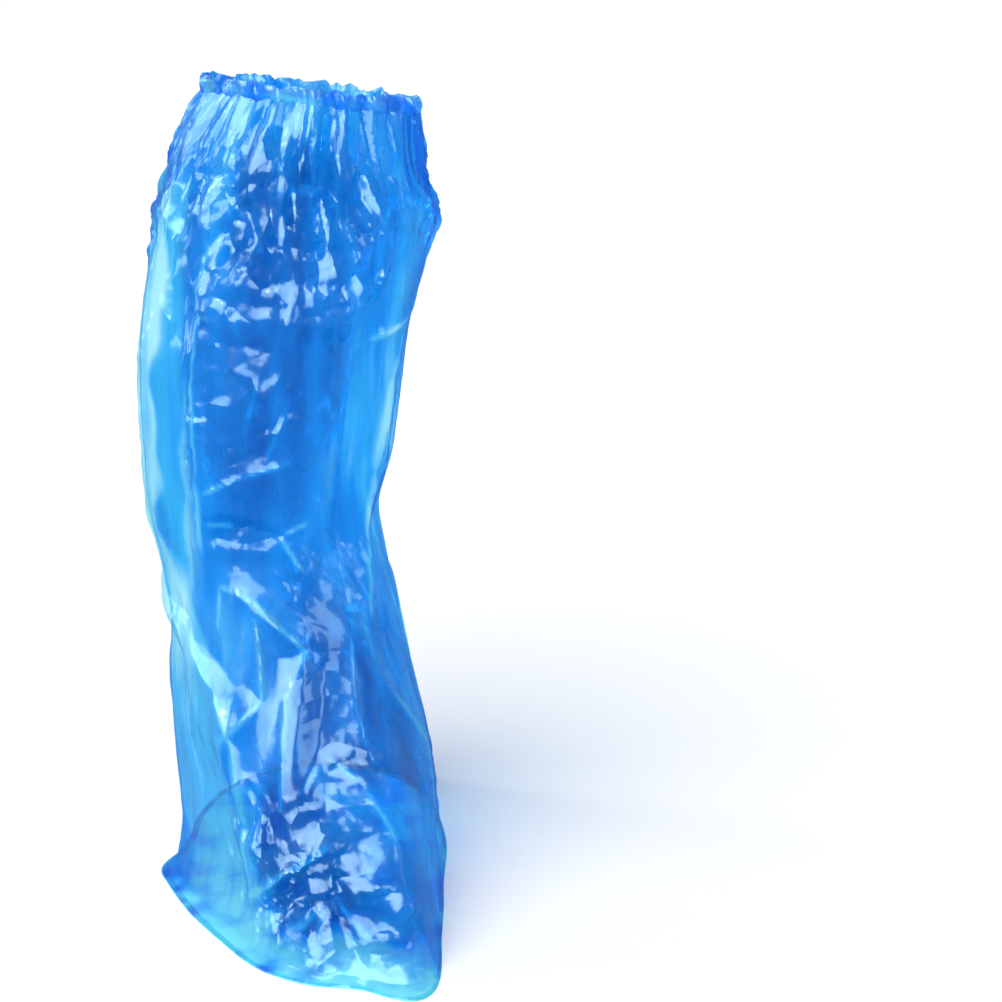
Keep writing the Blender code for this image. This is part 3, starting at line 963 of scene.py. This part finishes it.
def whole(name, description, default):
    """A whole number for the panel."""
    return IntProperty(name=name, description=description, default=default, min=8)


def metres(name, description, default):
    """A length in metres for the panel."""
    return FloatProperty(name=name, description=description, default=default, unit="LENGTH")


def fraction(name, description, default):
    """A share of something for the panel."""
    return FloatProperty(name=name, description=description, default=default)


def colour(name, description, shade):
    """A colour for the panel, from its sRGB hex."""
    return FloatVectorProperty(
        name=name, description=description, subtype="COLOR", size=4, default=linear(shade)
    )


class CoverSizes(PropertyGroup):
    """Sizes of the film's pleats, folds and crumples."""

    columns: whole("Columns", "Mesh columns round the bag", 344)
    rows: whole("Rows", "Mesh rows from cuff to ground", 264)
    crowding: fraction("Crowding", "How much the columns crowd in front", 0.3)
    gather_rise: metres("Gather rise", "How far the broad gathers stand out", 0.0026)
    pleats: whole("Pleats", "Small pleats round the cuff", 48)
    pleat_rise: metres("Pleat rise", "How far the small pleats stand out", 0.0019)
    facet: metres("Facet", "Width of a crumpled facet", 0.011)
    crumple_rise: metres("Crumple rise", "How far the crumples stand out", 0.0034)
    flare: fraction("Flare", "Share of the fin under the flared foot", 0.45)
    slack: fraction("Slack", "How much larger than its place the film is", 0.022)
    crumple_slack: fraction("Crumpled slack", "The same where it is crumpled", 0.11)
    slack_cap: metres("Slack cap", "How far slack film may move", 0.008)
    slack_rows: whole("Slack rows", "Rows of the simulated film", 150)
    slack_columns: whole("Slack columns", "Columns of the simulated film", 260)
    slack_steps: whole("Slack steps", "Frames of the simulation", 12)


class CoverColours(PropertyGroup):
    """Colours that the film lets through and scatters, and the floor's."""

    # The thin shades also colour the spots of painted light, and the deep shades those of painted
    # shade
    tint: colour("Tint", "Light through thin film", "D6FBFF")
    middle_tint: colour("Middle tint", "Light through mean film", "48C4FC")
    deep_tint: colour("Deep tint", "Light through dense film", "208ACE")
    cloud: colour("Cloud", "Light that thin film scatters", "B8F1FD")
    middle_cloud: colour("Middle cloud", "Light that mean film scatters", "1EA8FF")
    deep_cloud: colour("Deep cloud", "Light that dense film scatters", "0A5CB6")
    gloss: colour("Gloss", "Light that both faces reflect", "C4F0F9")
    floor: colour("Floor", "The studio floor", "E8E8E7")


class COVER_OT_bag_film(Operator):
    """Makes the bag of film: shaft, foot and the upper side of the fin"""

    bl_idname = "shoe_cover.bag_film"
    bl_label = "Bag film"

    def execute(self, context):
        sizes = context.scene.cover_sizes
        turns, heights = wall_grid(sizes)
        wall = film_sheet(turns, heights, sizes)
        wall = wall + shift_at(slack_shift(sizes), turns, heights)
        steps = np.linspace(0, 1, FIN_ROWS + 1)[1:] ** 0.8
        points = np.concatenate([wall, fin_points(turns[0], steps, sizes)])
        angle = direction(turns, heights)
        # The film's tone, with painted shade and painted light; the fin repeats that of the wall's
        # foot
        tone_and_painted_light = film_tone_and_painted_light(angle, heights)
        drop = (1 - heights) * COVER_HEIGHT
        blocky, upright = crumple_share(angle, heights)
        crumpled = np.clip(np.maximum(blocky, upright), 0, 1)
        over_fin = pattern_place(turns[:1], drop[-1:], FIN_SLOPE * steps[:, None])
        piece = make_piece(
            "bag_film",
            points,
            grid_faces(*points.shape[:2]).tolist(),
            "film_bag",
            np.concatenate([tone_and_painted_light, np.repeat(tone_and_painted_light[-1:], FIN_ROWS, 0)]),
            np.concatenate([crumpled, np.zeros((FIN_ROWS, sizes.columns))]),
            np.concatenate([pattern_place(turns, drop), over_fin]),
        )
        return {"FINISHED"}


class COVER_OT_sole_film(Operator):
    """Makes the film under the foot, out to the weld"""

    bl_idname = "shoe_cover.sole_film"
    bl_label = "Sole film"

    def execute(self, context):
        column = np.arange(SOLE_COLUMNS)
        ring, away, width = fin_at(column / SOLE_COLUMNS)
        edge = ring + away * width
        middle = ring.mean(0)
        # Rings from the middle out to the weld, raised here and there by smooth noise
        steps = (np.arange(1, SOLE_ROWS + 1) / SOLE_ROWS)[:, None]
        points = middle + (edge - middle) * steps[..., None]
        sag = np.clip(ripple(points, 0.062, 43), 0, None) * (1 - steps**6)
        points[..., 2] = FLOOR + SOLE_LIFT + 0.0006 * sag
        points = np.concatenate([points.reshape(-1, 3), [(*middle[:2], FLOOR + SOLE_LIFT)]])
        centre = np.full(SOLE_COLUMNS, SOLE_ROWS * SOLE_COLUMNS)
        fan = np.stack([centre, (column + 1) % SOLE_COLUMNS, column], -1)
        piece = make_piece(
            "sole_film",
            points,
            grid_faces(SOLE_ROWS, SOLE_COLUMNS)[:, ::-1].tolist() + fan.tolist(),
            "film_bag",
            np.full(len(points), 0.05),
        )
        return {"FINISHED"}


class COVER_OT_cuff_hem(Operator):
    """Makes the gathered hem round the mouth"""

    bl_idname = "shoe_cover.cuff_hem"
    bl_label = "Cuff hem"

    def execute(self, context):
        sizes = context.scene.cover_sizes
        turn = np.arange(HEM_COLUMNS) / HEM_COLUMNS
        angle = np.radians(direction(turn, 1.0))
        out = np.stack([np.cos(angle), np.sin(angle), np.zeros(HEM_COLUMNS)], -1)
        smooth = level_points(turn, np.ones(HEM_COLUMNS))
        # The tube starts on its outside and goes down, so its faces point as the film's do
        tube = -2 * np.pi * np.arange(HEM_AROUND)[:, None] / HEM_AROUND
        height = HEM_HEIGHT / 2 * (1 + np.sin(tube))
        turns = np.broadcast_to(turn, (HEM_AROUND, HEM_COLUMNS))
        puff = facets(turns, height + PATTERN_ABOVE, 30, 0.02, 15, 0.5)
        crinkle = facets(turns, height + PATTERN_ABOVE, 86, 0.006, 16, 0.6)
        # Facets swell the tube, which is narrow where it meets the film and full at the top
        swell = 0.85 + 0.30 * puff + 0.42 * crinkle
        swell = swell * (0.15 + 1.0 * height / HEM_HEIGHT)
        spread = HEM_THICKNESS / 2 * (np.cos(tube) + 0.22 * np.cos(3 * tube)) * swell
        spread = spread + 0.0009 * puff + sizes.gather_rise * gather_wave(turn)
        spread = spread + pleat_rise(turn, -height, sizes)
        lift = height * (1 + 0.40 * puff + 0.22 * crinkle)
        lift = lift - 0.0012 * np.abs(puff) * np.cos(tube / 2) ** 2
        # The outer side hangs over the film below it, here more and there less
        hang = 0.0008 + 0.0020 * puff + 0.0022 * crinkle
        lift = lift - hang * np.clip(np.cos(tube + 0.9), 0, 1)
        points = smooth + out * spread[..., None]
        points[..., 2] = smooth[:, 2] + lift
        make_piece(
            "cuff_hem",
            points,
            grid_faces(HEM_AROUND, HEM_COLUMNS, rows_closed=True).tolist(),
            "gathered_hem",
            np.clip(0.30 + 0.24 * puff + 0.10 * crinkle, 0, 1),
            np.ones(points.shape[:2]),
            pattern_place(turns, -height),
        )
        return {"FINISHED"}


class COVER_OT_sole_weld(Operator):
    """Makes the welded edge of the fin"""

    bl_idname = "shoe_cover.sole_weld"
    bl_label = "Sole weld"

    def execute(self, context):
        turn = np.arange(WELD_COLUMNS) / WELD_COLUMNS
        ring, away, width = fin_at(turn)
        # The section goes round the fin's edge, and narrow facets crimp its heights
        crimp = 1 + 0.18 * facets(turn, 0.0 * turn, 300, 1.0, 18, 0.8)
        points = ring + away * width + away * WELD_SECTION[:, :1, None]
        points[..., 2] = FLOOR + WELD_LIFT + WELD_SECTION[:, 1:] * crimp
        make_piece(
            "sole_weld",
            points,
            grid_faces(len(WELD_SECTION), WELD_COLUMNS, rows_closed=True).tolist(),
            "weld_flange",
            np.zeros(points.shape[:2]),
        )
        return {"FINISHED"}


class COVER_OT_studio(Operator):
    """Makes the floor, the soft lights and the camera"""

    bl_idname = "shoe_cover.studio"
    bl_label = "Studio"

    def execute(self, context):
        scene = context.scene
        sides = ((-1, -1), (1, -1), (1, 1), (-1, 1))
        corners = [(FLOOR_REACH * x, FLOOR_REACH * y, FLOOR) for x, y in sides]
        mesh = bpy.data.meshes.new("studio_floor")
        mesh.from_pydata(corners, [], [(0, 1, 2, 3)])
        material = bpy.data.materials.new("matt studio floor")
        material.use_nodes = True
        shader = material.node_tree.nodes["Principled BSDF"]
        shader.inputs["Base Color"].default_value = scene.cover_colours.floor
        shader.inputs["Roughness"].default_value = 0.9
        shader.inputs["Specular IOR Level"].default_value = 0.1
        mesh.materials.append(material)
        floor = stand("studio_floor", mesh)
        # The gloss shows no floor, so the film keeps its deep blue between the highlights
        floor.visible_glossy = False
        world = bpy.data.worlds.new("studio")
        world.use_nodes = True
        tree = world.node_tree
        background = tree.nodes["Background"]
        background.inputs["Color"].default_value = linear("F4F6F8")
        # The room is dim for the film's own light and as pale as the floor where it is seen
        seen = add_node(tree, "ShaderNodeLightPath")
        glow = add_node(
            tree,
            "ShaderNodeMapRange",
            values={"To Min": ROOM_GLOW, "To Max": BACKDROP_GLOW},
            links={"Value": seen.outputs["Is Camera Ray"]},
        )
        tree.links.new(glow.outputs[0], background.inputs["Strength"])
        scene.world = world
        for name, (azimuth, height, disc, strength, gloss_only) in SUNS.items():
            light = bpy.data.lights.new(name, "SUN")
            light.energy = strength
            light.angle = np.radians(disc)
            lamp = stand(name, light)
            lamp.rotation_euler = (np.radians(90 - height), 0, np.radians(azimuth + 90))
            lamp.visible_diffuse = lamp.visible_transmission = not gloss_only
        for name, (place, size, watts) in LAMPS.items():
            light = bpy.data.lights.new(name, "AREA")
            light.shape = "RECTANGLE"
            light.size, light.size_y = size
            light.energy = watts
            lamp = stand(name, light)
            lamp.location = place
            aim = Vector(LAMP_TARGET) - Vector(place)
            lamp.rotation_euler = aim.to_track_quat("-Z", "Y").to_euler()
        camera = bpy.data.cameras.new("camera")
        camera.sensor_width = SENSOR_WIDTH
        camera.lens = SENSOR_WIDTH * FOCAL_PIXELS / PICTURE_PIXELS
        camera.clip_start, camera.clip_end = 0.05, 5 * FLOOR_REACH
        eye = stand("camera", camera)
        eye.location = CAMERA_PLACE
        eye.rotation_euler = (np.radians(90 - CAMERA_DROP), 0, 0)
        scene.camera = eye
        scene.view_settings.view_transform = "Standard"
        return {"FINISHED"}


class COVER_PT_panel(Panel):
    """Lists the sizes, the colours and the makers of the shoe cover"""

    bl_label = "Shoe Cover"
    bl_space_type = "VIEW_3D"
    bl_region_type = "UI"
    bl_category = "Shoe Cover"

    def draw(self, context):
        for group in (context.scene.cover_sizes, context.scene.cover_colours):
            for name in group.__annotations__:
                self.layout.prop(group, name)
        for maker in MAKERS:
            self.layout.operator(maker.bl_idname)


MAKERS = (
    COVER_OT_sole_film,
    COVER_OT_cuff_hem,
    COVER_OT_sole_weld,
    COVER_OT_bag_film,
    COVER_OT_studio,
)
CLASSES = (CoverSizes, CoverColours, *MAKERS, COVER_PT_panel)


def register():
    for kind in CLASSES:
        bpy.utils.register_class(kind)
    bpy.types.Scene.cover_sizes = PointerProperty(type=CoverSizes)
    bpy.types.Scene.cover_colours = PointerProperty(type=CoverColours)


def unregister():
    del bpy.types.Scene.cover_colours
    del bpy.types.Scene.cover_sizes
    for kind in reversed(CLASSES):
        bpy.utils.unregister_class(kind)


def main():
    register()
    bpy.ops.shoe_cover.sole_film()
    bpy.ops.shoe_cover.cuff_hem()
    bpy.ops.shoe_cover.sole_weld()
    bpy.ops.shoe_cover.bag_film()
    bpy.ops.shoe_cover.studio()


if __name__ == "__main__":
    main()
